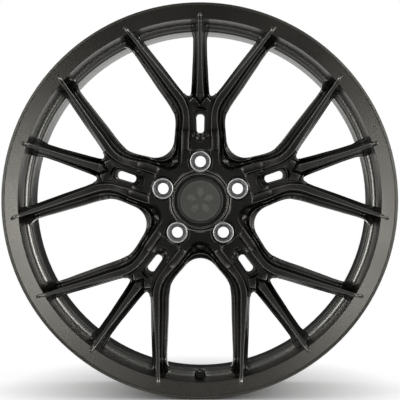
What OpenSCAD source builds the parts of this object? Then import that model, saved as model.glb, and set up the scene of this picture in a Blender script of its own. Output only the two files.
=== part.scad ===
// Forged road-racing wheel rim: a spun barrel, a forged five-arm centre welded into it,
// pressed-in stud seats, a clip-in centre cap, a hub ring and a clamp-in tyre valve.
// The wheel's axis lies along Y with the outboard face towards -Y, +Z is up, and the
// origin is the middle of the wheel. Inside, each piece is drawn with the axis along +Z
// (outboard) and one arm along +Y; depths are counted inwards from the front plane.

/* [Wheel] */
// Overall width over both flanges
wheel_width = 254; // [250:1:260]
// Radius of the flange's outer edge
flange_r = 274; // [273:0.5:275]
// Number of arms
arm_count = 5; // [5:5]

/* [Hub] */
// Depth of the hub's front face below the front plane
hub_depth = 78; // [76:0.5:80]
// Depth of the mounting face below the front plane
mount_depth = 107; // [105:0.5:109]
// Radius of the flat mounting pad
pad_r = 78; // [76:1:80]
// Radius of the centre bore that takes the hub ring
centre_bore_r = 36.55; // [36:0.05:37]
// Radius of the hub that the hub ring fits
hub_r = 33.3; // [28:0.1:35]
// Diameter of the circle through the stud holes
pitch_circle = 112; // [112:0.5:114.5]
// Radius of a stud hole
stud_hole_r = 8; // [7:0.1:8.2]
// Outer radius of a stud seat
seat_r = 14.7; // [14:0.1:15]

/* [Arms] */
// Half width of a slot at its outer end
slot_half_w = 5.6; // [4:0.1:6.5]
// Radius at which a slot begins
slot_from = 97; // [95:0.5:99]
// Radius at which a slot ends
slot_to = 124; // [122:0.5:126]

/* [Centre cap] */
// Radius of the cap's rim
cap_r = 33; // [32:0.1:34]
// Radius of the bore that the cap's legs clip into
cap_bore_r = 30.5; // [29.5:0.1:31]

/* [Valve] */
// Radius from the wheel's axis at which the valve crosses the rim wall
valve_at_r = 246.8; // [246:0.1:247.5]
// Tilt of the valve towards the wheel's axis
valve_tilt = 6; // [5:0.5:7]
// Radius of the valve stem
stem_r = 4; // [3.8:0.05:4.1]

/* [Hidden] */
$fn = 96;
front_z = wheel_width / 2;
arc_step = 18;

// Radii and depths that the barrel and the forged centre share
ring_in_r = 236.8;
ring_seat_r = 247.2;
ring_top_d = 44;
ring_back_d = 56.5;
well_wall_d = 62.5;
wall_foot_r = 247.4;
wall_top_r = 251.3;
lip_in_d = 5.6;
lip_tip_r = 262.5;
lip_tip_d = 3.1;

// Hub details
stud_r = pitch_circle / 2;
pocket_r = 17.2;
pocket_depth = 5;
seat_height = 14;
seat_proud = 2.5;
cone_top_r = 13.2;
cone_depth = 8;
cap_seat_d = hub_depth + 5;
cap_bore_end_d = hub_depth + 13;
recess_r = 37;
collar_r = 44;
collar_proud = 2;
cap_leg_in_r = 28;

// Valve details, along the stem from the rim wall's tyre side
grommet_r = 5.5;
grommet_t = 3;
valve_hole_r = 4.15;
wall_t = well_wall_d - ring_back_d;
washer_t = 1;
nut_t = 4.5;
nut_r = 5.8;
valve_pocket_r = 6.2;
stem_end = 26.5;
valve_cap_r = 5;
valve_cap_from = 20;
valve_cap_to = 30.5;
stem_bore_r = 1.9;
core_r = 1.8;
core_from = 14;
core_to = 25.5;
pin_r = 0.6;
pin_bore_r = 0.68;
pin_stroke_gap = 2;
seal_t = 1.2;

// Unit vector of v
function unit(v) = v / norm(v);
// Points of the arc that rounds corner b, between a and c, with radius r
function corner(a, b, c, r) = r <= 0 ? [b] :
    let (u = unit(a - b), w = unit(c - b), half = acos(u * w) / 2,
         mid = b + unit(u + w) * r / sin(half),
         p = b + u * r / tan(half) - mid, q = b + w * r / tan(half) - mid,
         from = atan2(p[1], p[0]), turn = atan2(p[0] * q[1] - p[1] * q[0], p * q),
         steps = ceil(abs(turn) / arc_step))
    [for (i = [0:steps]) mid + r * [cos(from + turn * i / steps), sin(from + turn * i / steps)]];
// Closed outline through [x, y, corner radius] entries
function rounded(pts) = let (n = len(pts), xy = [for (p = pts) [p[0], p[1]]])
    [for (i = [0:n - 1]) each corner(xy[(i + n - 1) % n], xy[i], xy[(i + 1) % n], pts[i][2])];
// The same list of [x, y, r] entries mirrored in x and read backwards
function mirrored(pts) = [for (i = [len(pts) - 1:-1:0]) [-pts[i][0], pts[i][1], pts[i][2]]];
// Profile entries [radius, depth, corner radius] turned into [radius, height, corner radius]
function from_front(pts) = [for (p = pts) [p[0], front_z - p[1], p[2]]];
// Points along a circle of radius r between two angles measured clockwise from the arm's middle
function rim_arc(r, a, b, n) = [for (i = [0:n]) let (t = a + (b - a) * i / n) [r * sin(t), r * cos(t), 0]];

// Front edge of the rails and crests: [radius, depth, 0]
crest_line = [
    [62, hub_depth + 0.4, 0], [108, 72.5, 0], [124, 65, 0], [142, 56.5, 0],
    [188, 33.5, 0], [228, 14, 0], [243, 7, 0], [251, 3.6, 0], [257, 2.4, 0]
];
// Depth to which rails and crests run down into the shoulders
crest_root = [[232, 40, 0], [188, 58, 0], [142, 78, 0], [108, 94, 0], [62, 98, 0]];
// Front edge of the lower shoulders beside them
shoulder_line = [[0, 92, 0], [70, 90, 0], [96, 89, 0], [112, 83, 0], [142, 69, 0], [188, 45.5, 0], [229, 24, 0]];
// Rear edge of the arms and spokes
back_line = [
    [ring_in_r, ring_back_d, 0], [222, 60, 0], [170, 80, 0], [142, 90, 0], [92, 103, 0],
    [pad_r + 3, mount_depth - 2.5, 0], [pad_r, mount_depth, 0], [0, mount_depth, 0]
];

// Draws what is inside with the wheel's axis along Y
module on_axle() { rotate([90, 0, 0]) children(); }
// Solid of revolution from depth entries
module turned(pts) { rotate_extrude($fn = 180) polygon(rounded(from_front(pts))); }
// Upright prism of an outline, through the whole width
module upright(pts) { translate([0, 0, -front_z]) linear_extrude(height = 2 * front_z) polygon(rounded(pts)); }
// Puts what is inside once on each arm
module each_arm() { for (i = [0:arm_count - 1]) rotate([0, 0, i * 360 / arm_count]) children(); }
// Cylinder between two depths
module plug(r, from_d, to_d) { translate([0, 0, front_z - to_d]) cylinder(r = r, h = to_d - from_d); }
// Moves a stem-wise drawn valve piece to its place in the rim wall, at the bottom of the wheel
module at_valve() {
    translate([0, -valve_at_r, front_z - well_wall_d]) rotate([-valve_tilt, 0, 0]) children();
}

// Rim barrel with both flanges, bead seats, humps, drop well, lip and the seat for the centre
module barrel() {
    flange_round = 1.9;
    color("#2f2e2b") on_axle() difference() {
        turned([
            [flange_r, 0, flange_round], [270, 0, 0.8], [269.6, 1.3, 0], [wall_top_r, lip_in_d, 1],
            [wall_foot_r, ring_top_d, 0], [ring_seat_r, ring_back_d, 0], [237.6, ring_back_d, 0],
            [237.4, well_wall_d, 0], [238.2, 86, 12], [249.5, 120, 20], [249.5, 250, 2],
            [252.5, wheel_width, 2], [flange_r, wheel_width, flange_round],
            [flange_r, 245.5, 2], [259, 244, 4], [256.4, 240, 0], [254.8, 222, 0],
            [256.2, 219, 1.5], [256.2, 215, 1.5], [254.6, 211, 0], [254.6, 116, 18], [241.4, 84, 12],
            [241, well_wall_d, 3], [254.6, well_wall_d, 4], [254.6, 43, 0],
            [256.2, 39, 1.5], [256.2, 35, 1.5], [254.8, 32, 0], [256.4, 14, 0],
            [259, 10, 4], [flange_r, 8.5, 2]
        ]);
        at_valve() {
            translate([0, 0, -10]) cylinder(r = valve_hole_r, h = 40);
            translate([0, 0, wall_t]) cylinder(r = valve_pocket_r, h = 40);
            translate([0, 0, -6]) cylinder(r = grommet_r + 0.3, h = 6);
        }
    }
}

// Outline of the large window between two arms, its middle along +Y
module large_window() {
    half = [[-43, 117.9, 20], [-46.4, 232.2, 6.3]];
    upright(concat([[0, 68, 27]], half, rim_arc(ring_in_r, -8, 8, 8), mirrored(half)));
}
// Outline of one small window beside a centre spoke
module small_window() {
    upright(concat([[13.4, 142, 4.2], [8.4, 236.6, 5]], rim_arc(ring_in_r, 4.5, 16, 6), [[80.3, 222.7, 5]]));
}
// Slot through the arm's web, narrowing towards the hub
module slot() {
    upright([
        [-4.6, slot_from, 4.4], [4.6, slot_from, 4.4],
        [slot_half_w, slot_to, 5], [-slot_half_w, slot_to, 5]
    ]);
}
// Rail that rises beside the channel and runs on as the diagonal spoke's crest
module rail() {
    upright([
        [17.8, 58, 0], [17.8, 78, 20], [15.5, 108, 30], [17.7, 134, 20], [32.7, 159.1, 60],
        [67.3, 198.5, 0], [102, 240.4, 0], [107, 242, 0.4], [105.2, 237.8, 0],
        [72.5, 194.3, 0], [40.5, 152.9, 60], [27.6, 134, 20], [24.1, 118, 20], [25.6, 106, 30],
        [29.2, 78, 20], [29.2, 58, 0]
    ]);
}
// Crest of the centre spoke, pointed at its foot
module centre_crest() {
    half = [[5.9, 148.4, 0], [2.5, 209.3, 0], [1.6, 250, 0], [0.6, 258.7, 0]];
    upright(concat([[0, 140.6, 0]], half, mirrored(half)));
}
// Raised flat between the two rails, above the slot
module plaque() {
    half = [[6.7, 143, 0], [10.6, 146.6, 1], [16, 141.6, 1], [11.6, 132, 0], [9.9, 128.4, 0]];
    arch = [for (a = [40:-20:-40]) [12.8 * sin(a), 119.2 + 12.8 * cos(a), 0]];
    upright(concat([[0, 138.1, 0]], half, arch, mirrored(half)));
}
// Outer end of a straight spoke, from the ring up the barrel's step
module spoke_end(pts) {
    intersection() {
        turned([
            [222, 28, 0], [wall_top_r - 1.2, 14, 0], [wall_foot_r - 0.3, ring_top_d + 3, 0],
            [ring_in_r + 1, 50, 0], [222, 50, 0]
        ]);
        upright(pts);
    }
}

// Rail, crest or spoke end cut to the front edge of the arms
module raised() {
    intersection() {
        turned(concat(crest_line, [
            [lip_tip_r, lip_tip_d, 0], [wall_top_r + 0.6, lip_in_d, 0], [wall_top_r, lip_in_d + 2.4, 0],
            [wall_foot_r + 0.4, ring_top_d - 4, 0]
        ], crest_root));
        children();
    }
}

// Everything that stands on one arm's shoulders
module arm_top() {
    raised() centre_crest();
    spoke_end([[-11.9, 246, 2], [-8.3, 232, 4], [-8.3, 223, 0], [8.3, 223, 0], [8.3, 232, 4],
               [11.9, 246, 2], [8, 262, 0], [-8, 262, 0]]);
    for (side = [0, 1]) mirror([side, 0, 0]) {
        raised() rail();
        spoke_end([[79, 221, 0], [88, 240, 0], [112, 246, 0], [110, 232, 0], [98, 216, 0]]);
    }
    intersection() {
        turned([[118, 72, 0], [148, 58, 0], [148, 80, 0], [118, 90, 0]]);
        plaque();
    }
}

// Everything that is cut from one arm
module arm_cuts() {
    rotate([0, 0, -180 / arm_count]) large_window();
    small_window();
    mirror([1, 0, 0]) small_window();
    slot();
    translate([0, stud_r, 0]) plug(stud_hole_r, 0, 200);
}

// Hub face with the scoops, the stud pockets and the collar round the centre cap
module hub_front() {
    difference() {
        union() {
            turned([[0, hub_depth, 0], [68, hub_depth, 4], [74, 91, 0], [74, 96, 0], [0, 96, 0]]);
            turned([
                [0, hub_depth - collar_proud, 0], [collar_r - 3, hub_depth - collar_proud, 0],
                [collar_r - 2.4, hub_depth - 0.8, 0], [collar_r, hub_depth - 0.8, 0],
                [collar_r + 0.6, hub_depth + 1, 0], [0, hub_depth + 1, 0]
            ]);
        }
        each_arm() {
            translate([0, stud_r, 0]) plug(pocket_r, 0, hub_depth + pocket_depth);
            rotate([0, 0, -180 / arm_count]) translate([0, 58, front_z - hub_depth])
                rotate([-12, 0, 0]) cylinder(r = 15, h = 10, center = true);
        }
    }
}

// Forged centre: hub, five arms with rails and slots, fifteen spokes and the outer ring
module forged_centre() {
    color("#34332f") on_axle() difference() {
        union() {
            difference() {
                turned(concat(shoulder_line, [
                    [ring_in_r + 2, ring_top_d + 1.5, 0], [wall_foot_r - 0.1, ring_top_d, 0],
                    [ring_seat_r, ring_back_d, 0]
                ], back_line));
                each_arm() arm_cuts();
            }
            hub_front();
            each_arm() arm_top();
        }
        each_arm() {
            // Channel between the rails
            intersection() {
                turned([[60, 60, 0], [113, 60, 0], [113, 79.5, 0], [96, 86.5, 0], [60, 88, 0]]);
                upright([[-11.5, 56, 0], [11.5, 56, 0], [12, 100, 0], [11.5, 118, 8], [-11.5, 118, 8], [-12, 100, 0]]);
            }
            translate([0, stud_r, 0]) {
                plug(seat_r, 0, hub_depth + seat_height - seat_proud);
                plug(stud_hole_r, 0, 200);
            }
        }
        plug(recess_r, 0, cap_seat_d);
        plug(cap_bore_r, 0, 200);
        plug(centre_bore_r, cap_bore_end_d, 200);
        at_valve() cylinder(r = 8, h = 60);
    }
}

// Bead of weld that joins the centre's ring to the barrel, at the rear
module weld_seam() {
    color("#55524c") on_axle() turned([
        [237.6, ring_back_d, 0], [ring_in_r, ring_back_d, 0], [ring_in_r - 0.2, ring_back_d + 1.4, 0.5],
        [237, ring_back_d + 3.2, 0.5], [237.5, ring_back_d + 4.2, 0]
    ]);
}

// Hardened conical seat for the stud hole on arm i, pressed into the centre
module stud_seat(i) {
    top_d = hub_depth - seat_proud;
    color("#d8dadb") on_axle() rotate([0, 0, (i - 1) * 360 / arm_count]) translate([0, stud_r, 0])
        rotate_extrude() polygon(rounded(from_front([
            [stud_hole_r, top_d + cone_depth, 0], [cone_top_r, top_d, 0], [seat_r, top_d, 0.6],
            [seat_r, top_d + seat_height, 0], [stud_hole_r, top_d + seat_height, 0]
        ])));
}

// Ring that fills the centre bore down to the hub's size
module hub_ring() {
    color("#8e9093") on_axle() turned([
        [hub_r, cap_bore_end_d + 1, 0], [centre_bore_r, cap_bore_end_d + 1, 0],
        [centre_bore_r, mount_depth - 0.5, 0], [hub_r + 1, mount_depth - 0.5, 0], [hub_r, mount_depth - 1.5, 0]
    ]);
}

// Centre cap: a dished disc with a raised rim, on a ring of clip legs
module cap_body() {
    leg_count = 6;
    leg_out_r = cap_bore_r - 0.3;
    color("#2b2b29") on_axle() difference() {
        union() {
            turned([
                [0, hub_depth - 0.6, 0], [29.6, hub_depth - 0.6, 0], [30.4, hub_depth - 2.6, 0.6],
                [cap_r - 0.6, hub_depth - 2.6, 0.8], [cap_r, cap_seat_d - 0.3, 0.5], [0, cap_seat_d - 0.3, 0]
            ]);
            turned([
                [cap_leg_in_r, cap_seat_d - 1, 0], [leg_out_r, cap_seat_d - 1, 0],
                [leg_out_r, cap_bore_end_d, 0.6], [cap_leg_in_r, cap_bore_end_d, 0]
            ]);
        }
        for (i = [0:leg_count - 1]) rotate([0, 0, (i + 0.5) * 360 / leg_count])
            translate([cap_leg_in_r - 4, -4, front_z - cap_bore_end_d - 5]) cube([12, 8, 9.5]);
    }
}

// Thin badge with five plain raised petals and a ring
module cap_badge() {
    face_d = hub_depth - 0.6;
    color("#3b3a36") on_axle() {
        plug(28.8, face_d - 0.8, face_d);
        difference() {
            plug(27.6, face_d - 1.3, face_d - 0.7);
            plug(26.6, face_d - 2, face_d);
        }
        each_arm() intersection() {
            plug(20, face_d - 1.3, face_d - 0.7);
            upright([[0, 5, 0], [5, 12, 2], [3.2, 19, 1], [-3.2, 19, 1], [-5, 12, 2]]);
        }
    }
}

// Wire ring that presses the cap's legs outwards
module cap_spring_ring() {
    wire_r = 0.9;
    color("#b9bbbd") on_axle() translate([0, 0, front_z - cap_bore_end_d + 2])
        rotate_extrude() translate([cap_leg_in_r - wire_r - 0.05, 0]) circle(r = wire_r, $fn = 24);
}

// Valve stem with its head on the tyre side
module valve_stem() {
    color("#1d1d1c") on_axle() at_valve() difference() {
        union() {
            translate([0, 0, -grommet_t]) cylinder(r = stem_r, h = stem_end + grommet_t);
            translate([0, 0, -grommet_t - 2]) cylinder(r = grommet_r - 0.1, h = 2);
        }
        translate([0, 0, -20]) cylinder(r = stem_bore_r, h = 60);
    }
}

// Rubber seal between the stem's head and the rim wall
module valve_grommet() {
    color("#161615") on_axle() at_valve() difference() {
        translate([0, 0, -grommet_t]) cylinder(r = grommet_r, h = grommet_t);
        translate([0, 0, -10]) cylinder(r = stem_r, h = 20);
    }
}

// Flat washer under the nut
module valve_washer() {
    color("#8a8c8e") on_axle() at_valve() translate([0, 0, wall_t]) difference() {
        cylinder(r = nut_r, h = washer_t);
        translate([0, 0, -1]) cylinder(r = stem_r, h = 10);
    }
}

// Hexagon nut that clamps the stem
module valve_nut() {
    color("#1d1d1c") on_axle() at_valve() translate([0, 0, wall_t + washer_t]) difference() {
        cylinder(r = nut_r, h = nut_t, $fn = 6);
        translate([0, 0, -1]) cylinder(r = stem_r, h = 10);
    }
}

// Core body that screws into the stem
module valve_core() {
    color("#c0a04c") on_axle() at_valve() difference() {
        translate([0, 0, core_from]) cylinder(r = stem_bore_r, h = core_to - core_from);
        translate([0, 0, core_from - 1]) cylinder(r = pin_bore_r, h = 20);
    }
}

// Sprung pin that opens the core when it is pressed
module valve_core_pin() {
    color("#c0a04c") on_axle() at_valve() {
        translate([0, 0, core_from - pin_stroke_gap]) cylinder(r = pin_r, h = core_to - core_from + pin_stroke_gap);
        translate([0, 0, core_from - pin_stroke_gap]) cylinder(r = 1.5, h = pin_stroke_gap - 0.05);
    }
}

// Screw-on valve cap with a grooved skirt
module valve_cap() {
    groove_count = 12;
    cap_h = valve_cap_to - valve_cap_from;
    color("#171716") on_axle() at_valve() difference() {
        translate([0, 0, valve_cap_from]) rotate_extrude()
            polygon(rounded([[0, 0, 0], [valve_cap_r, 0, 0.4], [valve_cap_r, cap_h, 1], [0, cap_h, 0]]));
        translate([0, 0, valve_cap_from - 1])
            cylinder(r = stem_r + 0.08, h = stem_end + 0.1 + seal_t + 0.1 - valve_cap_from + 1);
        for (i = [0:groove_count - 1]) rotate([0, 0, i * 360 / groove_count])
            translate([valve_cap_r + 0.35, 0, valve_cap_from - 1]) cylinder(r = 0.6, h = 8, $fn = 16);
    }
}

// Rubber disc inside the valve cap
module valve_cap_seal() {
    color("#101010") on_axle() at_valve() difference() {
        translate([0, 0, stem_end + 0.1]) cylinder(r = stem_r, h = seal_t);
        translate([0, 0, stem_end - 1]) cylinder(r = 1.2, h = 1.6);
    }
}

barrel();
forged_centre();
weld_seam();
stud_seat(1);  // stud_seat_1
stud_seat(2);  // stud_seat_2
stud_seat(3);  // stud_seat_3
stud_seat(4);  // stud_seat_4
stud_seat(5);  // stud_seat_5
hub_ring();
cap_body();
cap_badge();
cap_spring_ring();
valve_stem();
valve_grommet();
valve_washer();
valve_nut();
valve_core();
valve_core_pin();
valve_cap();
valve_cap_seal();
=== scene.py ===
# %% [markdown]
# # A forged racing wheel rim
# This lesson dresses a wheel rim whose frame is already fixed: the barrel, the stud seats, the cap
# and the valve come in as solids with their true sizes. What is left for this script is how the
# wheel looks. The forged centre is made again as a fine skin with sharp crests and soft valleys,
# every finish is built from nodes, and a small white studio lights it from two sides.

import bpy
import numpy as np
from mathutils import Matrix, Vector


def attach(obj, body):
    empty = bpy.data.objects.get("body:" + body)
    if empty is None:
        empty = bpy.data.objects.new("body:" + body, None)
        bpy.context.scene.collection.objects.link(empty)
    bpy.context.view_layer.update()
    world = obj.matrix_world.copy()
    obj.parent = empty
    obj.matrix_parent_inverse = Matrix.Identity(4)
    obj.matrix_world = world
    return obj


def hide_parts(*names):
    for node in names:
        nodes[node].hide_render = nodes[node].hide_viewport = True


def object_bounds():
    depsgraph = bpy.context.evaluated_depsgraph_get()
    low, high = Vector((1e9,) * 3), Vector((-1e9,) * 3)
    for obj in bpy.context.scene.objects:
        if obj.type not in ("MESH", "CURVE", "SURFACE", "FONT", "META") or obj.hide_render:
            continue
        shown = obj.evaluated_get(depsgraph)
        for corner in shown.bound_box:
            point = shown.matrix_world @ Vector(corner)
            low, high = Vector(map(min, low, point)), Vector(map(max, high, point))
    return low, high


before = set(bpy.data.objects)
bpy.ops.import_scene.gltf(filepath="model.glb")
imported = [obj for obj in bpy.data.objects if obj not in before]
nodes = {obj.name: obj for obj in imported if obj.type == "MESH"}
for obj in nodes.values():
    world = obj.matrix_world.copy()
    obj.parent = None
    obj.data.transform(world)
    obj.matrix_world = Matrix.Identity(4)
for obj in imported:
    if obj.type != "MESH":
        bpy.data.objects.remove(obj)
cad_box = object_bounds()
print("frame nodes:", len(nodes), "box:", cad_box)

# %% [markdown]
# ## Measures
# The wheel's axis lies along Y and the outboard face looks towards -Y. It is easier to think of
# the face as a drawing: `u` runs to the right, `v` runs up, and `d` is the depth below the front
# plane, all in millimetres. One arm points straight up, and the other four are turned copies.

# %% Measures shared by every piece
MM = 0.001
FRONT_Y = cad_box[0][1]
ARMS = 5
ARM_TURN = 2 * np.pi / ARMS
RING_IN, RING_SEAT, RING_TOP, RING_BACK = 236.8, 247.2, 44.0, 56.5
STUD_R, POCKET_R = 56.0, 17.0
MOUNT_D, PAD_R, BORE_R = 107.0, 78.0, 36.55
COLLAR_R, SEAT_R, SEAT_D, RECESS_D = 38.4, 14.6, 89.6, 83.0
FIN_BASE = 7.6


def smooth(x, xs, ys):
    """Monotone cubic through the points (xs, ys): each slope is the harmonic mean of its two neighbours'
    slopes, or zero at a turn, so the curve never overshoots a point."""
    xs, ys = np.asarray(xs, float), np.asarray(ys, float)
    h, s = np.diff(xs), np.diff(ys) / np.diff(xs)
    inner = np.where(s[:-1] * s[1:] > 0, 2 * s[:-1] * s[1:] / (s[:-1] + s[1:] + 1e-12), 0)
    m = np.concatenate([[s[0]], inner, [s[-1]]])
    i = np.clip(np.searchsorted(xs, x) - 1, 0, len(h) - 1)
    t = np.clip((x - xs[i]) / h[i], 0, 1)
    a, b = (1 + 2 * t) * (1 - t) ** 2, t * (1 - t) ** 2
    c, e = t * t * (3 - 2 * t), t * t * (t - 1)
    return a * ys[i] + b * h[i] * m[i] + c * ys[i + 1] + e * h[i] * m[i + 1]


def crest_depth(r):
    """Depth of the rails and crests at radius r: nearly flat at the hub, then a hollow sweep up to the lip."""
    return smooth(r, [0, 60, 92, 102, 108, 124, 142, 188, 228, 243, 251, 257, 264],
                  [78.2, 78.2, 76.6, 75.6, 73.2, 65, 56.5, 33.5, 14, 7, 3.6, 2.4, 3.4])


def back_depth(r):
    """Depth of the rear of the arms at radius r."""
    return smooth(r, [0, 78, 92, 142, 170, 222, 237, 270], [105, 105, 103, 90, 80, 60, 56, 56])


print("crest depths:", crest_depth(np.array([64.0, 142.0, 228.0])).round(1))

# %% [markdown]
# ## Closed skins from grids
# Every new piece is a grid of points: one direction runs along the piece, the other runs round
# its section. `Skin.add` joins such a grid into a closed skin with a flat end at each side, and
# the class gathers many of them, turned and mirrored, into one mesh for one forging.

# %% Helpers that turn grids into meshes


def flat_to_frame(uvd):
    """Drawing point (u, v, d) in millimetres to the frame in metres: x = u, y = front + d, z = v."""
    u, v, d = np.moveaxis(uvd, -1, 0)
    return np.stack([u * MM, FRONT_Y + d * MM, v * MM], -1)


def turn(u, v, angle):
    """Turns drawing points clockwise by an angle: (u cos a + v sin a, v cos a - u sin a)."""
    c, s = np.cos(angle), np.sin(angle)
    return u * c + v * s, v * c - u * s


def tube_faces(n, m, wrap_n=False):
    """Quads of an n by m grid whose second direction closes on itself, and whose first may too."""
    i, j = np.meshgrid(np.arange(n if wrap_n else n - 1), np.arange(m), indexing="ij")
    i2, j2 = (i + 1) % n, (j + 1) % m
    return np.stack([i * m + j, i * m + j2, i2 * m + j2, i2 * m + j], -1).reshape(-1, 4)


class Skin:
    """Closed skins gathered into one mesh. Each is turned to face outwards by the sign of its volume."""

    def __init__(self):
        self.verts, self.faces, self.count = [], [], 0

    def add(self, grid, wrap=False):
        """Adds a tube: grid is (stations, section points, 3) in drawing millimetres. Open ends get a cap."""
        n, m = grid.shape[:2]
        pts = flat_to_frame(grid).reshape(-1, 3)
        quads = tube_faces(n, m, wrap)
        tri = np.concatenate([quads[:, [0, 1, 2]], quads[:, [0, 2, 3]]])
        a, b, c = (pts[tri[:, k]] - pts.mean(0) for k in range(3))
        outward = np.einsum("ij,ij->i", a, np.cross(b, c)).sum() > 0
        blocks = [quads] if wrap else [quads, np.arange(m)[None, ::-1], np.arange(m)[None] + (n - 1) * m]
        self.verts.append(pts)
        self.faces += [(block if outward else block[:, ::-1]) + self.count for block in blocks]
        self.count += len(pts)

    def add_mirrored(self, grid, wrap=False):
        """Adds the grid and its mirror image across u = 0."""
        self.add(grid, wrap)
        self.add(grid * [-1, 1, 1], wrap)

    def on_each_arm(self):
        """Copies all that was added so far to the other arms, by turning it about the wheel's axis."""
        (x, y, z), faces, count = np.concatenate(self.verts).T, list(self.faces), self.count
        for k in range(1, ARMS):
            x_turned, z_turned = turn(x, z, k * ARM_TURN)
            self.verts.append(np.stack([x_turned, y, z_turned], -1))
            self.faces += [block + self.count for block in faces]
            self.count += count

    def piece(self, name, body, sharp=28):
        """Makes the object, shades it smooth except over edges sharper than the given angle."""
        mesh = bpy.data.meshes.new(name)
        mesh.from_pydata(np.concatenate(self.verts), [], [face for block in self.faces for face in block.tolist()])
        mesh.update()
        mesh.shade_smooth()
        mesh.set_sharp_from_angle(angle=np.radians(sharp))
        obj = bpy.data.objects.new(name, mesh)
        bpy.context.scene.collection.objects.link(obj)
        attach(obj, body)
        print(name, "points", len(mesh.vertices), "faces", len(mesh.polygons))
        return obj


def turned_ring(profile, steps=240):
    """Closed ring: each profile point (radius, depth) goes round the axis as (r sin a, r cos a, d)."""
    a = np.linspace(0, 2 * np.pi, steps, endpoint=False)[:, None]
    r, d = np.array(profile, float).T
    return np.stack([r * np.sin(a), r * np.cos(a), d + 0 * a], -1)


# %% [markdown]
# ## Rails and diagonal spokes
# On the real forging one blade starts as a rail beside the stud, climbs out of the hub, bends at
# the elbow and runs on as a diagonal spoke until its crest lies on the lip. So it is one profile
# carried along one path. The path is the middle of the crest. Each edge of the crest is rounded in
# four small steps, because that is what catches the light as a thin line.

# %% The blade: one profile carried along the crest's path
BLADE_STEPS = 120
ROUND_IN, ROUND_DOWN = np.array([1.7, 1.0, 0.45, 0.1]), np.array([0.0, 0.12, 0.5, 1.2])
# the rail starts this far under the hub's face, is out of it at this v, and rises over this length
RAIL_SINK, RAIL_OUT_V, RAIL_RISE = 1.2, 72.0, 8.0
# path u and v, crest half width, reach to the small window, its drop, reach to the large window, slip, its drop
BLADE = np.array([
    [21.6, 64, 5.7, 8.4, 8, 17.8, 0, 12.5], [21.6, 78, 5.7, 8.3, 10, 16.8, 0, 12.5],
    [21.5, 88, 5.6, 7.9, 11, 15.8, 0, 12.5], [20.9, 97, 5.6, 7.3, 12, 15.5, 0, 12.5],
    [20.2, 108, 5.0, 6.6, 12, 15.4, 0, 12.5], [20.0, 117, 4.6, 6.6, 12, 15.9, 0, 12.5],
    [20.9, 127, 4.6, 7.2, 13, 17.0, 0, 12.5], [23.4, 135, 4.7, 8.4, 14, 18.0, 0, 12.5],
    [26.6, 141.6, 4.8, 9.2, 16, 18.2, 0, 12.5], [31.6, 148.6, 4.7, 9.0, 18, 17.8, 0, 12.5],
    [37.2, 155.6, 4.5, 8.7, 19, 17.1, 0, 12.5], [46.8, 167.9, 4.1, 8.7, 20, 16.4, 0, 12],
    [57.5, 181.6, 3.6, 8.7, 20, 15.2, 0, 11.5], [69.0, 195.9, 3.1, 8.7, 20, 13.8, 0, 11],
    [80.4, 210.1, 2.7, 8.7, 21, 12.3, 0, 11], [84.5, 215.4, 2.6, 8.7, 23, 12.2, -1.6, 13],
    [89.0, 221.2, 2.4, 9.2, 26, 12.2, -5.4, 18], [93.6, 227.2, 2.2, 10.2, 29, 12.9, -9.3, 25],
    [97.5, 232.0, 2.3, 11.4, 32, 14.5, -11.9, 31], [100.7, 235.9, 2.5, 12.0, 34, 17.4, -13.4, 34]
])
FIN = np.array([[100.5, 235.6, 2.5, 4.0, 4, 4.0, 0, 4], [103.4, 238.8, 2.5, 3.8, 4, 3.8, 0, 4],
                [106.2, 241.2, 2.3, 3.4, 3.5, 3.4, 0, 3.5], [107.8, 242.4, 1.0, 1.6, 2.5, 1.6, 0, 2.5]])


def stations(table, count):
    """Rows of a table at equal steps of its path's length, with the path's unit direction (du, dv)."""
    length = np.concatenate([[0], np.cumsum(np.hypot(*np.diff(table[:, :2], axis=0).T))])
    at = np.linspace(0, length[-1], count)
    row = np.stack([smooth(at, length, table[:, k]) for k in range(table.shape[1])])
    du, dv = np.gradient(row[0]), np.gradient(row[1])
    return row, du / np.hypot(du, dv), dv / np.hypot(du, dv)


def rounded(hw, top, side=1):
    """Offsets and depths of a rounded edge at half width hw: four steps, ever steeper, so it shades as one curve."""
    shrink = np.minimum(1, 0.5 * hw / ROUND_IN[0])
    q = side * (hw[:, None] - shrink[:, None] * ROUND_IN)
    d = top[:, None] + shrink[:, None] * ROUND_DOWN
    return (q, d) if side > 0 else (q[:, ::-1], d[:, ::-1])


def blade(table, count, base):
    """Closed section across the path: wall and narrow ledge on the small window's side, round-edged crest, plain wall
    on the other side. A point at offset q lies at path + q * normal, where the normal is the direction turned right."""
    (u, v, hw, left, drop, *_), du, dv = stations(table, count)
    gap = left - hw
    top = crest_depth(np.hypot(u, v)) + RAIL_SINK * np.clip((RAIL_OUT_V - v) / RAIL_RISE, 0, 1)
    base = back_depth(np.hypot(u, v)) if base is None else base + 0 * u
    (lq, ld), (rq, rd) = rounded(hw, top, -1), rounded(hw, top)
    q = np.column_stack([-left + 1.2, -left, -left, -left + 0.3, -left + 0.9, -hw - 0.62 * gap, -hw - 0.5 * gap,
                         -hw - 0.36 * gap, -hw - 0.12 * gap, lq, 0 * u, rq, hw + 0.02, hw])
    d = np.column_stack([base, base - 1.2, top + drop + 1.4, top + drop + 0.5, top + drop, top + 0.66 * drop,
                         top + 0.54 * drop, top + 0.48 * drop, top + 0.22 * drop, ld, top - 0.15, rd, top + 3.2, base])
    return np.stack([u[:, None] + q * dv[:, None], v[:, None] - q * du[:, None], d], -1)


forging = Skin()
forging.add_mirrored(blade(BLADE, BLADE_STEPS, None))
forging.add_mirrored(blade(FIN, 14, FIN_BASE))

# %% [markdown]
# ## Rim of a large window
# Beside each crest a valley and a lower shoulder run down to the hub, sweep round the bottom of the
# large window as a dished scoop, and climb the next arm. That is one strip between two guide
# curves, the crest's foot and the window's edge, so both are worked out first.

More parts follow.
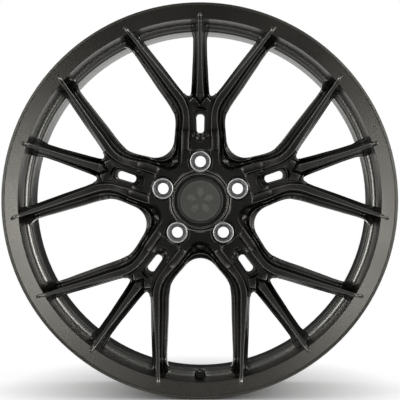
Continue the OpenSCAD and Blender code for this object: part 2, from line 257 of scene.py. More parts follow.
# %% The strip between the crests and the large window
WINDOW_R, WINDOW_C, SCOOP_R, SCOOP_C = 27.0, 109.6, 16.0, 74.0
RIM_FROM_V, SCOOP_BLEND = 93.0, 30.0
# across the strip: the share of its width, then the drop as a share of the shoulder's, then the drop in the scoop
ACROSS = np.array([0, 0.05, 0.12, 0.2, 0.28, 0.36, 0.44, 0.52, 0.6, 0.66, 0.70, 0.74, 0.80, 0.87, 0.92, 0.96, 0.99,
                   1.0])
VALLEY = np.array([0.10, 0.32, 0.62, 0.86, 0.98, 1.03, 1.03, 1.0, 0.965, 0.94, 0.925, 0.91, 0.895, 0.885, 0.89, 0.915,
                   0.97, 1.04])
SCOOP = np.array([1.0, 4.0, 8.4, 12.0, 14.6, 15.8, 15.8, 15.0, 13.6, 12.4, 11.9, 12.2, 13.4, 13.6, 13.6, 13.8, 14.3,
                  15.2])


def to_window(u, v):
    """Turns a point by half an arm's pitch, so that the window's middle line points straight up."""
    return turn(u, v, -ARM_TURN / 2)


def bowl(radius, centre, degrees):
    """Points of the arc at the hub end of a window: (-radius sin a, centre - radius cos a)."""
    a = np.radians(degrees)
    return np.stack([-radius * np.sin(a), centre - radius * np.cos(a)], -1)


def window_rim():
    """Grid of the whole strip: half of it is guide curves inner(s) and edge(s), the other half is the mirror image.
    Across it, a point is inner + f * (edge - inner) and its depth is the crest's depth plus a valley or scoop curve."""
    (u, v, hw, _, _, right, slip, low), du, dv = stations(BLADE, BLADE_STEPS)
    keep = v > RIM_FROM_V
    inner = np.stack(to_window(u + (hw - 0.4) * dv, v - (hw - 0.4) * du), -1)[keep][::-1]
    edge = np.stack(to_window(u + right * dv + slip * du, v - right * du + slip * dv), -1)[keep][::-1]
    low, top = low[keep][::-1], crest_depth(np.hypot(u, v))[keep][::-1]
    line = np.stack(to_window(np.array([27.0, 27.1]), np.array([84.0, 72.0])), -1)
    key_in = np.concatenate([inner[-1:], line, bowl(SCOOP_R, SCOOP_C, [54, 45, 36, 27, 18, 9, 0])])
    key_out = np.concatenate([edge[-1:], bowl(WINDOW_R, WINDOW_C, [46, 38, 28, 23.2, 18.5, 13.8, 9.2, 4.6, 0])])
    length = np.concatenate([[0], np.cumsum(np.hypot(*np.diff(key_in, axis=0).T))])
    at = np.linspace(0, length[-1], 46)[1:]
    inner = np.concatenate([inner, np.stack([smooth(at, length, key_in[:, k]) for k in (0, 1)], -1)])
    edge = np.concatenate([edge, np.stack([smooth(at, length, key_out[:, k]) for k in (0, 1)], -1)])
    hub = np.clip(np.concatenate([0 * low, at / SCOOP_BLEND]), 0, 1)[:, None]
    hub = hub * hub * (3 - 2 * hub)
    offset = np.hypot(*inner[len(top) - 1]) - np.hypot(u, v)[keep][0]
    radius = np.hypot(*inner.T)[len(top):] - offset * (1 - at / length[-1])
    low, top = np.concatenate([low, np.full(len(at), low[-1])]), np.concatenate([top, crest_depth(radius)])
    depth = top[:, None] + (1 - hub) * low[:, None] * VALLEY + hub * SCOOP
    base_in, base_out = back_depth(np.hypot(*inner.T)), back_depth(np.hypot(*edge.T))
    f = np.concatenate([[0.1, -0.05, -0.05], ACROSS, [1.0, 1.0, 0.93]])
    d = np.column_stack([base_in, base_in - 1, top + 3, depth, np.minimum(depth[:, -1] + 1.2, base_out - 1.6),
                         base_out - 1.4, base_out])
    half = np.concatenate([inner[:, None] + f[:, None] * (edge - inner)[:, None], d[..., None]], -1)
    whole = np.concatenate([half, half[-2::-1] * [-1, 1, 1]])
    return np.stack([*turn(whole[..., 0], whole[..., 1], ARM_TURN / 2), whole[..., 2]], -1)


forging.add(window_rim())

# %% [markdown]
# ## Centre spokes
# The middle spoke is straight and symmetric. Its crest begins as an arrow's point between the two
# blades and narrows all the way to the lip, with the same rounded edge down each side.

# %% The centre spoke
# v along the spoke, half width of the crest, half width at the window's edge, how far that edge lies below the crest
SPINE = np.array([
    [138, 0.1, 15.0, 9], [141.2, 0.25, 16.0, 9.5], [144, 3.0, 16.6, 10.5], [147.2, 6.2, 15.6, 12],
    [149.5, 5.9, 14.2, 13], [154, 5.4, 13.0, 14], [160, 5.0, 12.5, 15], [171, 4.2, 11.8, 16], [185, 3.6, 11.1, 17],
    [209, 2.8, 9.9, 19], [226, 2.4, 9.7, 24], [232, 2.3, 10.6, 28], [237, 2.3, 12.0, 32], [243, 2.5, 12.4, 36],
    [249.5, 2.6, 12.4, 40]
])
SPINE_FIN = np.array([[249.0, 2.6, 4.2, 4], [254, 2.6, 4.0, 4], [258.2, 2.3, 3.4, 3.5], [260.2, 1.0, 1.7, 2.5]])


def centre_spoke(table, count, base):
    """Half the section is offsets and depths from the middle: crest, rounded edge, wall, narrow ledge, wall. The rest
    is its mirror. The crest dips towards the arrow's point."""
    v = np.linspace(table[0, 0], table[-1, 0], count)
    hw, edge, drop = (smooth(v, table[:, 0], table[:, k]) for k in (1, 2, 3))
    top, span = crest_depth(v) + 0.25 * np.clip(150 - v, 0, 16), edge - hw
    base = back_depth(v) if base is None else base + 0 * v
    rq, rd = rounded(hw, top)
    q = np.column_stack([0 * v, rq, hw + 0.12 * span, hw + 0.38 * span, hw + 0.5 * span, hw + 0.62 * span,
                         edge - 0.9, edge - 0.3, edge, edge, edge - 1.2])
    d = np.column_stack([top - 0.15, rd, top + 0.24 * drop, top + 0.5 * drop, top + 0.56 * drop, top + 0.66 * drop,
                         top + drop, top + drop + 0.5, top + drop + 1.4, base - 1.2, base])
    q, d = np.concatenate([q, -q[:, :0:-1]], 1), np.concatenate([d, d[:, :0:-1]], 1)
    return np.stack([q, v[:, None] + 0 * q, np.minimum(d, base[:, None])], -1)


forging.add(centre_spoke(SPINE, 110, None))
forging.add(centre_spoke(SPINE_FIN, 12, FIN_BASE))

# %% [markdown]
# ## Web, slot and plaque
# Between the two rails lies a lower web with a long slot. A mill leaves terraces as it steps down
# to a slot, so the web is a set of outlines nested round it, from the slot's wall out to a border
# that hides under the blades and rounds the corners of the small windows.

# %% The web round the slot
SLOT_TOP, SLOT_LOW, SQUARED = 118.3, 101.7, 0.86
# half width, reach above, reach below, then how far under the web the outline lies at the side, above and below
TERRACES = np.array([
    [5.7, 4.9, 4.7, 6.4, 6.4, 7.0], [6.2, 5.4, 5.2, 5.6, 5.6, 6.2], [8.2, 9.6, 7.6, 4.9, 5.4, 5.9],
    [9.0, 12.6, 8.6, 0.8, 1.0, 4.0], [9.7, 13.4, 10.0, 0.0, 0.0, 3.8], [10.5, 14.6, 11.2, 0.0, 0.0, 2.2],
    [11.6, 17.0, 14.8, 0.0, 0.0, 2.0], [12.6, 19.5, 16.2, 0.0, 0.0, 0.0], [14.5, 23.0, 20.0, 0.0, 0.0, 0.0]
])
# the web's own border: turn about the slot from straight up, then u and v
BORDER = np.array([
    [0, 0, 150.0], [0.42, 12.4, 151.2], [0.48, 13.4, 149.7], [0.54, 15.0, 148.8], [0.6, 17.0, 148.6],
    [0.66, 18.8, 149.1], [0.72, 20.4, 150.4], [0.8, 22.6, 152.6], [0.95, 25.0, 146.0], [1.2, 23.0, 132.0],
    [1.5, 19.5, 118.0], [1.9, 18.5, 100.0], [2.3, 17.5, 84.0], [2.8, 16.0, 70.0], [np.pi, 0.0, 66.0]
])
# right half of the plaque's outline, from its notch at the top to the middle of its foot
PLAQUE = np.array([
    [0.0, 135.3], [3.0, 138.6], [8.0, 145.2], [8.8, 145.8], [9.8, 145.9], [15.9, 140.5], [16.2, 139.9], [16.0, 139.2],
    [12.2, 130.5], [11.2, 127.8], [10.6, 127.5], [9.4, 128.6], [7.0, 130.3], [3.8, 131.6], [0.0, 132.0]
])
TURN = np.linspace(0, 2 * np.pi, 128, endpoint=False)


def web_depth(v):
    """Depth of the channel floor and web along the arm."""
    return smooth(v, [50, 68, 84, 97, 104, 112, 124, 142, 156], [85.4, 85.4, 85.6, 84.6, 82.5, 79, 73.5, 65, 59])


def web():
    """Nested rounded outlines: half width * sin and reach * cos about the slot's two centres, squared off a little."""
    up, side = np.cos(TURN) >= 0, np.abs(np.sin(TURN)) ** SQUARED * np.sign(np.sin(TURN))
    tall = np.abs(np.cos(TURN)) ** SQUARED
    near, rows = np.abs(np.cos(TURN)) ** 2, []
    for width, above, below, at_side, at_top, at_low in TERRACES:
        v = np.where(up, SLOT_TOP + above * tall, SLOT_LOW - below * tall)
        under = at_side + (np.where(up, at_top, at_low) - at_side) * near
        rows.append(np.stack([(width - 0.5 * ~up) * side, v, web_depth(v) + under], -1))
    fold = np.minimum(TURN, 2 * np.pi - TURN)
    u = np.interp(fold, BORDER[:, 0], BORDER[:, 1]) * np.where(TURN <= np.pi, 1, -1)
    v = np.interp(fold, BORDER[:, 0], BORDER[:, 2])
    last = rows[-1]
    for t in (0.3, 0.65, 0.97, 1.0):
        p = last[:, :2] + (np.stack([u, v], -1) - last[:, :2]) * t
        rows.append(np.column_stack([p, web_depth(p[:, 1]) + (0.5 if t == 1 else 0)]))
    rows.append(np.column_stack([u, v, back_depth(v) - 3]))
    wall = rows[0].copy()
    wall[:, 2] = back_depth(wall[:, 1]) - 3
    return np.stack([wall] + rows, 1)


def plaque():
    """Raised flat above the slot: its outline under the web, at the wall's top, then drawn in and up in small steps."""
    outline = np.concatenate([PLAQUE, PLAQUE[-2:0:-1] * [-1, 1]])
    ahead, behind = np.roll(outline, -1, 0) - outline, outline - np.roll(outline, 1, 0)
    way = ahead / np.hypot(*ahead.T)[:, None] + behind / np.hypot(*behind.T)[:, None]
    inward = np.stack([way[:, 1], -way[:, 0]], -1) / np.hypot(*way.T)[:, None]
    rows = []
    for shrink, rise in ((0, -6), (0, 3.2), (0.3, 3.9), (0.8, 4.3), (0.95, 4.34)):
        p = outline + inward * shrink
        rows.append(np.column_stack([p, web_depth(p[:, 1]) - rise]))
    return np.stack(rows)


forging.add(web(), wrap=True)
forging.add(plaque())

# %% [markdown]
# ## Hub
# Each stud sits in a round recess that opens into the channel between the rails. The recess's
# floor is a boss with the stud hole in it. The flat face beside the recess is a strip that
# follows its wall, from under the collar round the stud and out along the rail.

# %% The hub face round one stud


def stud_boss():
    """Closed ring round a stud hole: hole, seat ledge, recess floor, then an outer wall. On each ray from the stud the
    wall lies where the ray meets the outer or the core circle about the axle, or the edge of the arm's sector."""
    hole_r, core_r, outer_r = 8.0, 46.0, 70.0
    c, s = np.cos(TURN), np.sin(TURN)
    reach = np.sqrt((STUD_R * c) ** 2 - STUD_R**2 + outer_r**2) - STUD_R * c
    inside = (STUD_R * c) ** 2 - STUD_R**2 + core_r**2
    reach = np.where((inside > 0) & (c < 0), -STUD_R * c - np.sqrt(np.maximum(inside, 0)), reach)
    tan = np.tan(ARM_TURN / 2)
    reach = np.minimum(reach, STUD_R * tan / np.maximum(np.abs(s) - c * tan, 1e-3))
    profile = [(hole_r, MOUNT_D), (hole_r, SEAT_D), (SEAT_R, SEAT_D), (SEAT_R, RECESS_D + 0.4), (SEAT_R + 0.3, RECESS_D),
               (17.6, RECESS_D), (17.8, 88.0), (reach, 92.0), (reach, MOUNT_D)]
    return np.stack([np.stack([r * s, STUD_R + r * c, d + 0 * s], -1) for r, d in profile], 1)


def hub_strip():
    """Right half of the hub's face: wall(t) follows the recess and the channel, out(t) the collar, the middle line
    between two arms, the scoop's rim and the rail. The strip is filled between them and each free edge is rounded."""
    t = np.linspace(0, 1, 150)
    split = 0.6
    a = np.radians(np.interp(t, [0, split], [0, 129]))
    climb = np.clip((t - split) / (1 - split), 0, 1)
    wall = np.stack([np.where(t < split, POCKET_R * np.sin(a), 13.3 + 2.6 * climb**2),
                     np.where(t < split, STUD_R - POCKET_R * np.cos(a), 66.8 + 9.4 * climb)], -1)
    b = np.radians(np.linspace(0, 36, 9))
    collar = np.stack([COLLAR_R * np.sin(b), COLLAR_R * np.cos(b)], -1)
    scoop = np.stack(turn(*bowl(SCOOP_R, SCOOP_C, [0, 9, 18, 27, 36, 45, 54]).T, ARM_TURN / 2), -1)
    edge = np.concatenate([collar, [[28.4, 39.0]], scoop, [[27.3, 66.0], [27.3, 71.0], [27.2, 76.2]]])
    key = np.concatenate([np.linspace(0, 0.26, 9), [0.36], np.linspace(0.42, 0.68, 7), [0.78, 0.88, 1.0]])
    out = np.stack([np.interp(t, key, edge[:, 0]), np.interp(t, key, edge[:, 1])], -1)
    free = np.clip((t - 0.40) / 0.04, 0, 1)[:, None]
    way, width = out - wall, np.hypot(*(out - wall).T)[:, None]
    way, small = way / width, np.minimum(1, width / 8)
    face = crest_depth(np.hypot(*(0.5 * (wall + out)).T)) + 1.3 * np.clip((out[:, 1] - 68) / 8, 0, 1) * (t > 0.7)
    f = face[:, None]
    lines = [(wall - way * 0.2, f + 14), (wall - way * 0.2, f + 8)]
    inner_round = zip(ROUND_IN[::-1] * 0.8, ROUND_DOWN[::-1] * 0.8)
    lines += [(wall + way * (q * small - 0.1), f + d * small) for q, d in inner_round]
    lines += [(wall + way * 2.4 * small, f), (0.5 * (wall + out), f - 0.02)]
    lines += [(out - way * (0.25 + 2.15 * free) * small, f)]
    lines += [(out - way * q * free * small, f + d * free * small) for q, d in zip(ROUND_IN, ROUND_DOWN)]
    lines += [(out, f + 4 * free), (out, f + 14 * free)]
    return np.stack([np.column_stack([p, d]) for p, d in lines], 1)


forging.add(stud_boss(), wrap=True)
forging.add_mirrored(hub_strip())

# %% [markdown]
# The parts that go all the way round are simple turned rings: the core of the hub with its
# mounting pad, and the collar round the cap. The collar's outer step stops where a stud's recess
# cuts it, so that step is an arc whose ends follow the recess.

# %% Turned parts of the forging


def collar_arc():
    """Outer step of the collar between two studs: at radius r it ends where |r - stud| is the recess radius."""
    profile = np.array([[38.6, 90], [38.6, 77.6], [39.6, 76.5], [40.6, 77.0], [41.4, 78.1], [42.1, 77.3], [43.0, 76.8],
                        [44.0, 77.2], [44.8, 78.4], [44.8, 90]])
    r = profile[:, 0]
    stop = np.arccos(np.clip((r**2 + STUD_R**2 - (POCKET_R + 0.1) ** 2) / (2 * STUD_R * r), -1, 1))
    t = np.linspace(0, 1, 40)[:, None]
    a = stop + (ARM_TURN - 2 * stop) * t
    return np.stack([r * np.sin(a), r * np.cos(a), profile[:, 1] + 0 * a], -1)


forging.add(collar_arc())
forging.on_each_arm()
hub_core = [[BORE_R, MOUNT_D], [47, MOUNT_D], [47, 90], [38.9, 90], [38.9, 77.6], [38.3, 76.6], [37.5, 76.6],
            [37, 77.4], [37, 83], [30.5, 83], [30.5, 91], [BORE_R, 91]]
pad_rim = [[68, MOUNT_D], [PAD_R - 0.6, MOUNT_D], [PAD_R, MOUNT_D - 0.6], [PAD_R + 2, 103], [PAD_R + 1, 98], [68, 96]]
forging.add(turned_ring(hub_core), wrap=True)
forging.add(turned_ring(pad_rim), wrap=True)


def outer_ring():
    """Ring of the centre, open at the bottom for the valve: at radius r each end stops on the notch's circle."""
    profile = np.array([[RING_IN, 55.8], [RING_IN + 0.7, RING_BACK], [RING_SEAT, RING_BACK],
                        [RING_SEAT + 0.15, RING_TOP], [246.4, 43.9], [241.0, 45.0], [240.0, 45.8], [239.2, 48.0],
                        [238.2, 48.4], [237.3, 49.2], [RING_IN, 50.6]])
    r, notch_r, notch_c = profile[:, 0], 7.9, 244.7
    notch = np.sqrt(np.maximum(notch_r**2 - (r - notch_c) ** 2, 0.6))
    stop = np.arcsin(notch / r)
    t = np.linspace(0, 1, 360)[:, None]
    a = np.pi + stop + (2 * np.pi - 2 * stop) * t
    return np.stack([r * np.sin(a), r * np.cos(a), profile[:, 1] + 0 * a], -1)


forging.add(outer_ring())
centre = forging.piece("centre_forging", "wheel")
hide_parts("forged_centre")

# %% [markdown]
# ## Finishes
# Satin paint is never one colour: it holds fine grain and slow clouds. Its thin, lighter edges are a painted highlight,
# and on the spokes a painted highlight lightens it towards the lip. These effects are shader node groups, built once
# and given other values in each material.

# %% Node groups shared by the finishes


def group(name, inputs, outputs):
    """Makes an empty shader node group with named float inputs and typed outputs."""
    tree = bpy.data.node_groups.new(name, "ShaderNodeTree")
    for label, value in inputs.items():
        socket = tree.interface.new_socket(label, in_out="INPUT", socket_type="NodeSocketFloat")
        socket.default_value = value
    for label, kind in outputs.items():
        tree.interface.new_socket(label, in_out="OUTPUT", socket_type=kind)
    return tree, tree.nodes.new("NodeGroupInput"), tree.nodes.new("NodeGroupOutput")


def link(tree, source, target):
    """Connects two sockets given as (node, name)."""
    tree.links.new(source[0].outputs[source[1]], target[0].inputs[target[1]])


def node(tree, kind, **values):
    """Adds a node. A value goes to the node's own setting of that name, or else to its input socket."""
    made = tree.nodes.new(kind)
    for key, value in values.items():
        if hasattr(made, key):
            setattr(made, key, value)
        else:
            made.inputs[key.replace("_", " ")].default_value = value
    return made


def maths(tree, operation, first, second=None, clamp=False):
    """Result of a Math node on sockets (node, name) or plain numbers, itself as a socket (node, name)."""
    made = tree.nodes.new("ShaderNodeMath")
    made.operation, made.use_clamp = operation, clamp
    for index, value in enumerate((first, second)):
        if isinstance(value, tuple):
            tree.links.new(value[0].outputs[value[1]], made.inputs[index])
        elif value is not None:
            made.inputs[index].default_value = value
    return made, "Value"


def off_axle(tree, place):
    """Distance of a point from the wheel's axle: the length of (x, 0, z)."""
    flat = node(tree, "ShaderNodeVectorMath", operation="MULTIPLY")
    length = node(tree, "ShaderNodeVectorMath", operation="LENGTH")
    flat.inputs[1].default_value = (1, 0, 1)
    link(tree, (place, "Object"), (flat, "Vector"))
    link(tree, (flat, "Vector"), (length, "Vector"))
    return length, "Value"


def paint_grain_group():
    """Fine sprayed grain: two sizes of noise give a height, a gloss mask and a slow colour mask."""
    tree, given, out = group("paint_grain", {"Grain size": 900.0, "Cloud size": 9.0},
                             {"Height": "NodeSocketFloat", "Gloss": "NodeSocketFloat", "Cloud": "NodeSocketFloat"})
    place = tree.nodes.new("ShaderNodeTexCoord")
    fine = node(tree, "ShaderNodeTexNoise", Detail=3.0, Roughness=0.6)
    slow = node(tree, "ShaderNodeTexNoise", Detail=4.0, Roughness=0.55)
    for noise, size in ((fine, "Grain size"), (slow, "Cloud size")):
        link(tree, (place, "Object"), (noise, "Vector"))
        link(tree, (given, size), (noise, "Scale"))
    link(tree, (fine, "Fac"), (out, "Height"))
    gloss = maths(tree, "ADD", maths(tree, "MULTIPLY", (fine, "Fac"), 0.35),
                  maths(tree, "MULTIPLY", (slow, "Fac"), 0.65))
    link(tree, gloss, (out, "Gloss"))
    link(tree, (slow, "Fac"), (out, "Cloud"))
    return tree


def turning_marks_group():
    """Fine rings round the wheel's axis, as a lathe leaves them: noise read at (radius, depth) only."""
    tree, given, out = group("turning_marks", {"Mark size": 900.0}, {"Height": "NodeSocketFloat"})
    place, split = tree.nodes.new("ShaderNodeTexCoord"), tree.nodes.new("ShaderNodeSeparateXYZ")
    join = tree.nodes.new("ShaderNodeCombineXYZ")
    link(tree, (place, "Object"), (split, "Vector"))
    link(tree, off_axle(tree, place), (join, "X"))
    link(tree, (split, "Y"), (join, "Y"))
    rings = node(tree, "ShaderNodeTexNoise", Detail=2.0, Roughness=0.7)
    link(tree, (join, "Vector"), (rings, "Vector"))
    link(tree, (given, "Mark size"), (rings, "Scale"))
    link(tree, (rings, "Fac"), (out, "Height"))
    return tree


def edge_highlight_group():
    """Mask of a painted highlight, 1 on outward edges and 0 elsewhere: the surface's pointiness, broken by a little
    noise. Faces whose distance from the axle lies between two radii stay plain, because many surfaces meet flush there.
    The second mask climbs from 0 to 1 over the outer part of the spokes, for a painted highlight there."""
    tree, given, out = group(
        "edge_highlight", {"Start": 0.515, "End": 0.56, "Break up": 0.1, "Plain from": 0.0, "Plain to": 0.0},
        {"Edge": "NodeSocketFloat", "Outer": "NodeSocketFloat"})
    shape, place = tree.nodes.new("ShaderNodeNewGeometry"), tree.nodes.new("ShaderNodeTexCoord")
    noise = node(tree, "ShaderNodeTexNoise", Scale=140.0, Detail=3.0)
    link(tree, (place, "Object"), (noise, "Vector"))
    band = tree.nodes.new("ShaderNodeMapRange")
    # painted highlight: pointiness between Start and End lightens the rounded edges
    link(tree, (shape, "Pointiness"), (band, "Value"))
    link(tree, (given, "Start"), (band, "From Min"))
    link(tree, (given, "End"), (band, "From Max"))
    shine_breakup = maths(tree, "MULTIPLY", (noise, "Fac"), (given, "Break up"))
    edge_shine = maths(tree, "SUBTRACT", (band, "Result"), shine_breakup, clamp=True)
    # painted highlight: the Outer mask lightens the spokes from 0.15 m to 0.24 m off the axle
    radius, outer = off_axle(tree, place), node(tree, "ShaderNodeMapRange", From_Min=0.15, From_Max=0.24)
    link(tree, radius, (outer, "Value"))
    link(tree, (outer, "Result"), (out, "Outer"))
    beyond = maths(tree, "GREATER_THAN", radius, (given, "Plain from"))
    within = maths(tree, "LESS_THAN", radius, (given, "Plain to"))
    kept = maths(tree, "SUBTRACT", 1.0, maths(tree, "MULTIPLY", beyond, within))
    link(tree, maths(tree, "MULTIPLY", edge_shine, kept), (out, "Edge"))
    return tree


GROUPS = {"grain": paint_grain_group(), "turned": turning_marks_group(), "edge": edge_highlight_group()}
print("node groups:", [g.name for g in GROUPS.values()])

# %% [markdown]
# One recipe serves every coated or bare metal piece here. Only its numbers change: base colour, the
# lighter colour of clouds and of the painted highlights on edges and towards the lip, roughness, how metallic it is,
# and how deep the grain or turning marks go.

# %% The recipe for a finish


# a Mix node's sockets by number, because each of its names is used once for every kind of value
FACTOR, FLOAT_A, FLOAT_B, COLOUR_A, COLOUR_B, FLOAT_OUT, COLOUR_OUT = 0, 2, 3, 6, 7, 0, 2


def colour(r, g, b):
    """An opaque colour for a socket."""
    return (r, g, b, 1.0)


def finish(name, base, light, rough, metal=0.0, coat=0.0, coat_rough=0.2, edge=0.3, cloud=0.22, grain=900.0, depth=0.02,
           turned=0.0, mark_size=900.0, level=0.5, plain=(0.0, 0.0), outer=0.0):
    """Principled material: base to light by the cloud mask and by painted highlights on edges and towards the lip,
    roughness by gloss mask, bump by grain or turning.
    """
    made = bpy.data.materials.new(name)
    made.use_nodes = True
    tree = made.node_tree
    shader = tree.nodes["Principled BSDF"]
    shader.inputs["Metallic"].default_value = metal
    shader.inputs["Coat Weight"].default_value = coat
    shader.inputs["Coat Roughness"].default_value = coat_rough
    shader.inputs["Specular IOR Level"].default_value = level
    spray = node(tree, "ShaderNodeGroup", node_tree=GROUPS["grain"])
    highlight_masks = node(tree, "ShaderNodeGroup", node_tree=GROUPS["edge"])
    spray.inputs["Grain size"].default_value = grain
    highlight_masks.inputs["Plain from"].default_value, highlight_masks.inputs["Plain to"].default_value = plain
    # the lighter colour comes in by random clouds and by painted highlights: edge sets the painted edge highlight,
    # outer the painted highlight towards the lip
    tone_and_highlight = maths(tree, "ADD", maths(tree, "MULTIPLY", (highlight_masks, "Edge"), edge),
                   maths(tree, "MULTIPLY", (spray, "Cloud"), cloud), clamp=True)
    tone_and_highlight = maths(tree, "ADD", tone_and_highlight, maths(tree, "MULTIPLY", (highlight_masks, "Outer"), outer), clamp=True)
    blend = node(tree, "ShaderNodeMix", data_type="RGBA")
    blend.inputs[COLOUR_A].default_value, blend.inputs[COLOUR_B].default_value = colour(*base), colour(*light)
    link(tree, tone_and_highlight, (blend, FACTOR))
    link(tree, (blend, COLOUR_OUT), (shader, "Base Color"))
    gloss = node(tree, "ShaderNodeMapRange", From_Min=0.3, From_Max=0.7, To_Min=rough * 0.86, To_Max=rough * 1.14)
    link(tree, (spray, "Gloss"), (gloss, "Value"))
    link(tree, (gloss, "Result"), (shader, "Roughness"))
    bump = node(tree, "ShaderNodeBump", Strength=0.35, Distance=depth * MM)
    if turned:
        marks = node(tree, "ShaderNodeGroup", node_tree=GROUPS["turned"])
        marks.inputs["Mark size"].default_value = mark_size
        height = maths(tree, "ADD", maths(tree, "MULTIPLY", (marks, "Height"), turned),
                       maths(tree, "MULTIPLY", (spray, "Height"), 1 - turned))
        link(tree, height, (bump, "Height"))
    else:
        link(tree, (spray, "Height"), (bump, "Height"))
    link(tree, (bump, "Normal"), (shader, "Normal"))
    return made


# %% [markdown]
# The centre is satin black with a trace of warm metal in it, the barrel the same but a little
# browner. Seats are bare turned steel, and the valve is black with a rubber foot and a brass core.

# %% Every finish and the pieces that carry it
# the centre's edge and outer amounts paint highlights on its rounded edges and on the spokes towards the lip
paint_centre = finish("satin_black_forging", (0.040, 0.039, 0.036), (0.36, 0.355, 0.33), 0.25, metal=1.0, coat=0.03,
                      coat_rough=0.25, edge=0.85, cloud=0.02, depth=0.008, plain=(0.0455, 0.072), outer=0.16)
paint_barrel = finish("satin_bronze_black_barrel", (0.092, 0.089, 0.080), (0.15, 0.145, 0.13), 0.28, metal=1.0,
                      coat=0.06, coat_rough=0.3, depth=0.006)
# every finish here paints its edges lighter as a highlight too, the badge most of all
FINISHES = {
    "barrel": paint_barrel,
    "weld_seam": finish("weld_metal", (0.20, 0.19, 0.18), (0.5, 0.48, 0.45), 0.5, metal=1.0, depth=0.15),
    "stud_seat": finish("turned_steel", (0.85, 0.85, 0.85), (0.95, 0.95, 0.95), 0.3, metal=1.0, turned=0.8,
                        mark_size=1500, depth=0.02),
    "hub_ring": finish("anodised_alloy", (0.45, 0.45, 0.46), (0.7, 0.7, 0.7), 0.3, metal=1.0, turned=0.6),
    "cap_body": finish("cap_plastic", (0.045, 0.044, 0.042), (0.16, 0.16, 0.15), 0.34, metal=0.5, coat=0.1, cloud=0.1),
    "cap_badge": finish("badge_relief", (0.11, 0.11, 0.10), (0.20, 0.195, 0.185), 0.3, metal=0.8, coat=0.1, edge=0.7,
                        cloud=0.08),
    "cap_spring_ring": finish("drawn_wire", (0.5, 0.5, 0.5), (0.8, 0.8, 0.8), 0.3, metal=1.0),
    "valve_stem": finish("black_anodised", (0.02, 0.02, 0.02), (0.06, 0.06, 0.06), 0.35, metal=0.6),
    "valve_grommet": finish("rubber", (0.012, 0.012, 0.012), (0.03, 0.03, 0.03), 0.75, depth=0.05),
    "valve_washer": finish("plated_steel", (0.4, 0.4, 0.4), (0.7, 0.7, 0.7), 0.3, metal=1.0),
    "valve_nut": finish("black_nut", (0.02, 0.02, 0.02), (0.07, 0.07, 0.07), 0.35, metal=0.6),
    "valve_core": finish("turned_brass", (0.6, 0.42, 0.16), (0.85, 0.68, 0.36), 0.28, metal=1.0, turned=0.5),
    "valve_cap": finish("cap_moulding", (0.004, 0.004, 0.004), (0.012, 0.012, 0.012), 0.5, depth=0.03, level=0.15),
}
FINISHES["valve_core_pin"], FINISHES["valve_cap_seal"] = FINISHES["valve_core"], FINISHES["valve_grommet"]
for name in nodes:
    key = "stud_seat" if name.startswith("stud_seat") else name
    if key in FINISHES and name in bpy.data.objects:
        mesh = bpy.data.objects[name].data
        mesh.materials.clear()
        mesh.materials.append(FINISHES[key])
centre.data.materials.append(paint_centre)
print("finishes:", len(FINISHES))

# %% [markdown]
# ## Studio
# A pale floor just touches the flange, and the paper behind is white. Two tall soft lights stand in
# front, left and right, so the lip glows at its sides and stays dark at the top. Three narrow strips
# on each side, nearer to the wheel's own plane, trace the rounded edges.

# %% Floor, lights and camera
floor_z = cad_box[0][2]


def floor():
    """Flat pale sheet under the wheel and behind it. It glows a little, which is painted light, and not close to the
    wheel's line of contact, which paints a soft shadow there: the glow grows with the distance hypot(x, y / 2)."""
    corners = np.array([[-4, -0.3, 0], [4, -0.3, 0], [4, 6, 0], [-4, 6, 0]]) + [0, 0, floor_z - 0.0005]
    mesh = bpy.data.meshes.new("floor")
    mesh.from_pydata(corners, [], [(0, 1, 2, 3)])
    sheet = bpy.data.objects.new("floor", mesh)
    bpy.context.scene.collection.objects.link(sheet)
    pale = bpy.data.materials.new("pale_floor")
    pale.use_nodes = True
    tree = pale.node_tree
    shader = tree.nodes["Principled BSDF"]
    shader.inputs["Base Color"].default_value = colour(0.92, 0.92, 0.92)
    shader.inputs["Roughness"].default_value = 0.9
    shader.inputs["Emission Color"].default_value = colour(1, 1, 1)
    place, flat = tree.nodes.new("ShaderNodeTexCoord"), node(tree, "ShaderNodeVectorMath", operation="MULTIPLY")
    away = node(tree, "ShaderNodeVectorMath", operation="LENGTH")
    # painted shadow: no glow near the line of contact, and full glow from 0.3 m away
    glow = node(tree, "ShaderNodeMapRange", From_Min=0.06, From_Max=0.3, To_Min=0.0, To_Max=0.6)
    flat.inputs[1].default_value = (1, 0.5, 0)
    link(tree, (place, "Object"), (flat, "Vector"))
    link(tree, (flat, "Vector"), (away, "Vector"))
    link(tree, (away, "Value"), (glow, "Value"))
    link(tree, (glow, "Result"), (shader, "Emission Strength"))
    mesh.materials.append(pale)


def soft_light(name, place, size, power):
    """Upright area light at a place, turned to look at the wheel's face."""
    lamp = bpy.data.lights.new(name, "AREA")
    lamp.shape, lamp.size, lamp.size_y, lamp.energy = "RECTANGLE", size[0], size[1], power
    holder = bpy.data.objects.new(name, lamp)
    holder.location = place
    holder.visible_camera = False
    holder.rotation_euler = (Vector((0, -0.1, 0)) - Vector(place)).to_track_quat("-Z", "Y").to_euler()
    bpy.context.scene.collection.objects.link(holder)


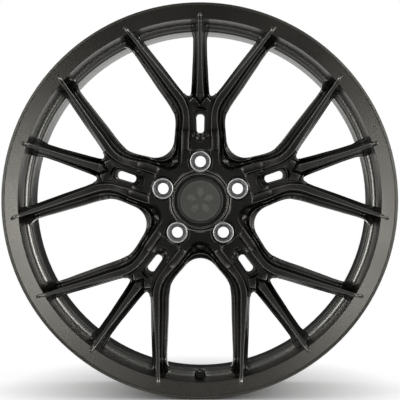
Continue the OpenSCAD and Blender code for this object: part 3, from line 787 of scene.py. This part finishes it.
def studio_world(ends, sides):
    """White paper where the camera looks at it. In reflections the room is dim in front and behind and pale at the
    sides: its strength follows the square of the direction's Y."""
    world = bpy.data.worlds.new("studio")
    world.use_nodes = True
    tree = world.node_tree
    paper, ray = tree.nodes["Background"], tree.nodes.new("ShaderNodeLightPath")
    way, split = tree.nodes.new("ShaderNodeTexCoord"), tree.nodes.new("ShaderNodeSeparateXYZ")
    room = node(tree, "ShaderNodeMapRange", interpolation_type="SMOOTHSTEP", From_Min=0.15, From_Max=0.85, To_Min=sides,
                To_Max=ends)
    mix = node(tree, "ShaderNodeMix", data_type="FLOAT")
    mix.inputs[FLOAT_B].default_value = 1.0
    link(tree, (way, "Generated"), (split, "Vector"))
    link(tree, maths(tree, "MULTIPLY", (split, "Y"), (split, "Y")), (room, "Value"))
    link(tree, (room, "Result"), (mix, FLOAT_A))
    link(tree, (ray, "Is Camera Ray"), (mix, FACTOR))
    paper.inputs["Color"].default_value = colour(1, 1, 1)
    link(tree, (mix, FLOAT_OUT), (paper, "Strength"))
    bpy.context.scene.world = world


floor()
studio_world(0.03, 0.55)
soft_light("left_key", (-0.97, -3.0, 0.3), (0.42, 1.15), 11)
soft_light("right_key", (0.97, -3.0, 0.3), (0.42, 1.15), 14)
for side, power in ((-1, 3.5), (1, 5.0)):
    soft_light("low_strip", (side * 1.5, -1.25, -1.0), (0.3, 1.0), power * 0.3)
    soft_light("high_strip", (side * 1.5, -1.25, 1.1), (0.3, 1.0), power * 0.35)
    soft_light("side_strip", (side * 2.0, -1.25, 0.1), (0.3, 1.2), power * 0.9)

camera = bpy.data.cameras.new("camera")
camera.sensor_width, camera.lens = 36.0, 156.6
camera.shift_x, camera.shift_y = -0.0446, 0.0017
holder = bpy.data.objects.new("camera", camera)
holder.location = (0.025, FRONT_Y - 2.4, 0.0)
holder.rotation_euler = (np.pi / 2, 0, 0)
bpy.context.scene.collection.objects.link(holder)
bpy.context.scene.camera = holder
bpy.context.scene.view_settings.view_transform = "Standard"
print("camera at", tuple(holder.location))
